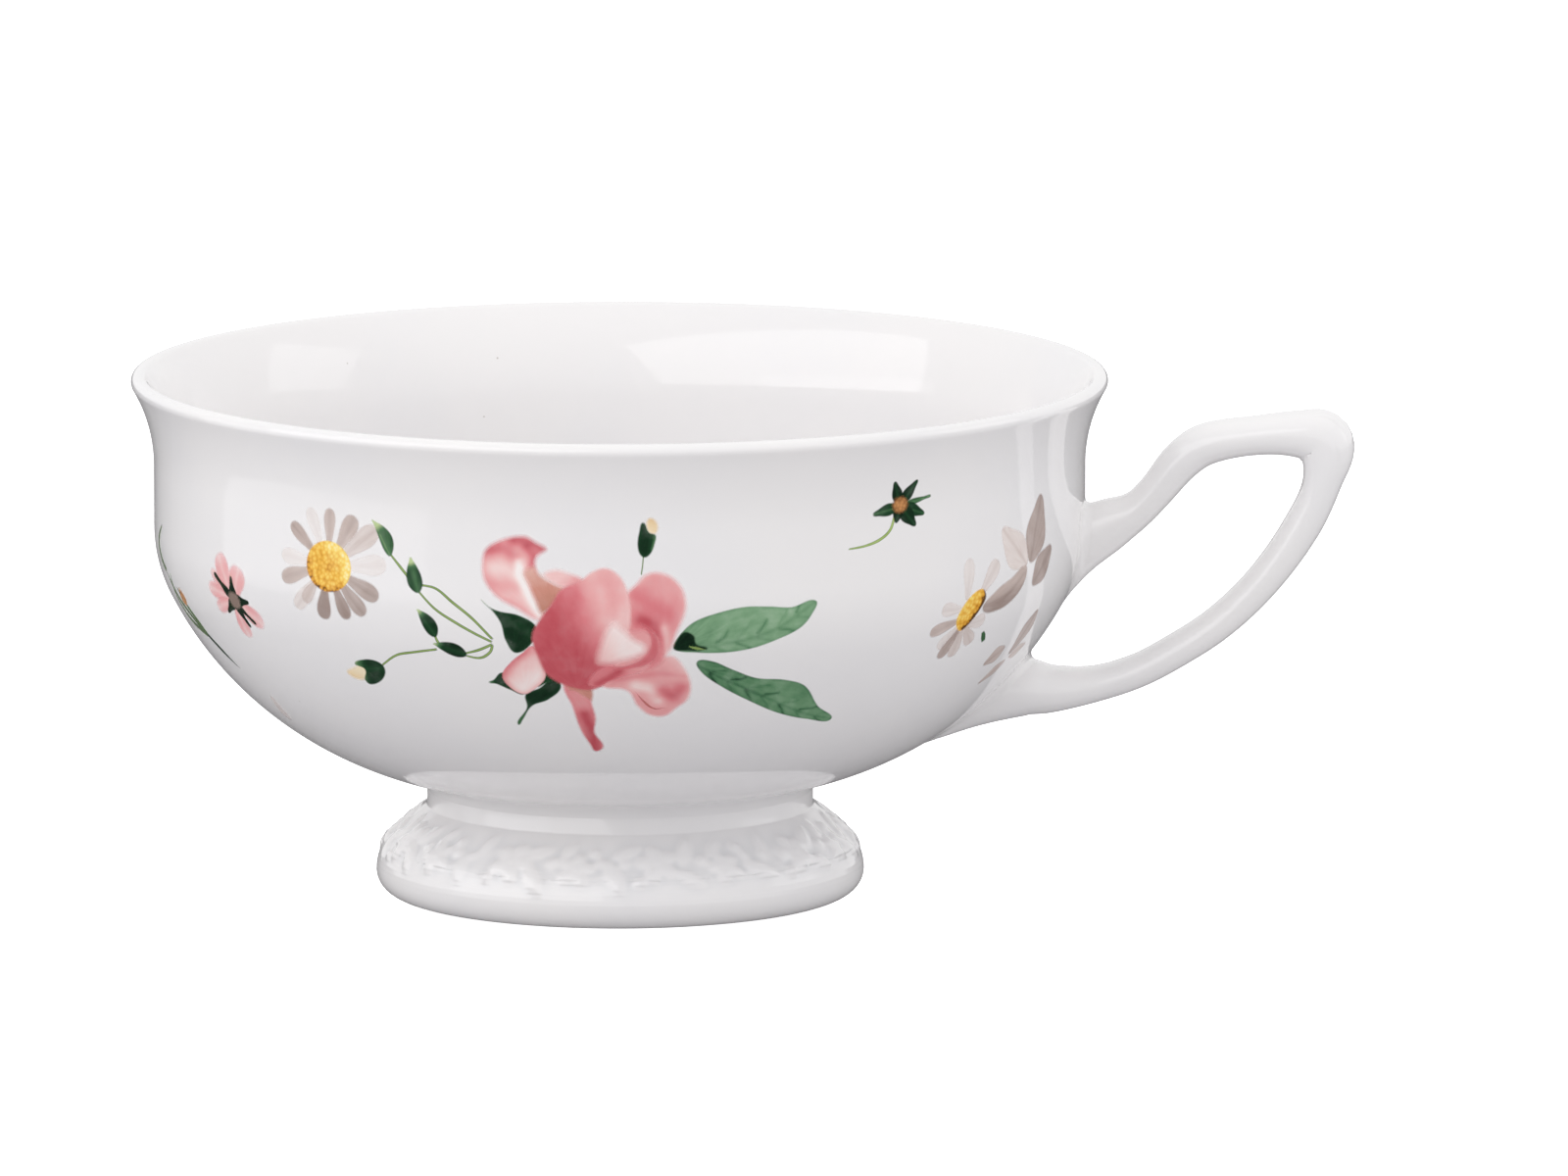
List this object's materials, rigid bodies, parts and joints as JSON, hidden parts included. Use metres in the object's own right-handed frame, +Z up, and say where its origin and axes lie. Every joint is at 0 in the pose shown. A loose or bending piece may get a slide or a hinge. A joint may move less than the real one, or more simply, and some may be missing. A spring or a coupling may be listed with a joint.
{
  "type": "teacup",
  "caption": "Low footed porcelain teacup with a flared lip, an angular loop handle, a pedestal foot with a moulded garland, and printed garden flowers.",
  "frame": {"origin": "centre of the foot's resting ring, on the table", "axes": "+Z up along the cup's axis; +X towards the handle; +Y to the left of the handle, seen from above with the handle pointing away"},
  "size_m": [0.1303, 0.104, 0.056],
  "materials": {
    "glazed_porcelain": "clear glossy glaze over white hard porcelain",
    "foot_porcelain": "clear glossy glaze over moulded relief, bare matt ring under the foot",
    "fired_slip": "fired clay slip under the glaze",
    "rose_print": "rose pink overglaze print, glossy",
    "green_print": "leaf green overglaze print, glossy",
    "taupe_print": "grey-brown overglaze print, glossy",
    "gold_print": "golden yellow and grey-brown overglaze print, glossy"
  },
  "bodies": {
    "root": {"bowl": "glazed_porcelain", "pedestal_foot": "foot_porcelain", "handle": "glazed_porcelain", "foot_slip_joint": "fired_slip", "upper_handle_slip": "fired_slip", "lower_handle_slip": "fired_slip", "rose_transfer": "rose_print", "high_rosebud_transfer": "rose_print", "bud_spray_transfer": "green_print", "daisy_transfer": "gold_print", "pink_blossom_transfer": "rose_print", "meadow_sprig_transfer": "green_print", "upper_leaf_transfer": "green_print", "lower_leaf_transfer": "green_print", "hip_sprig_transfer": "gold_print", "side_daisy_transfer": "gold_print", "pale_leaf_upper_transfer": "taupe_print", "pale_leaf_lower_transfer": "taupe_print", "back_rose_transfer": "rose_print", "back_leaf_transfer": "green_print", "back_bud_spray_transfer": "green_print", "back_daisy_transfer": "gold_print", "back_blossom_transfer": "rose_print"}
  },
  "joints": []
}
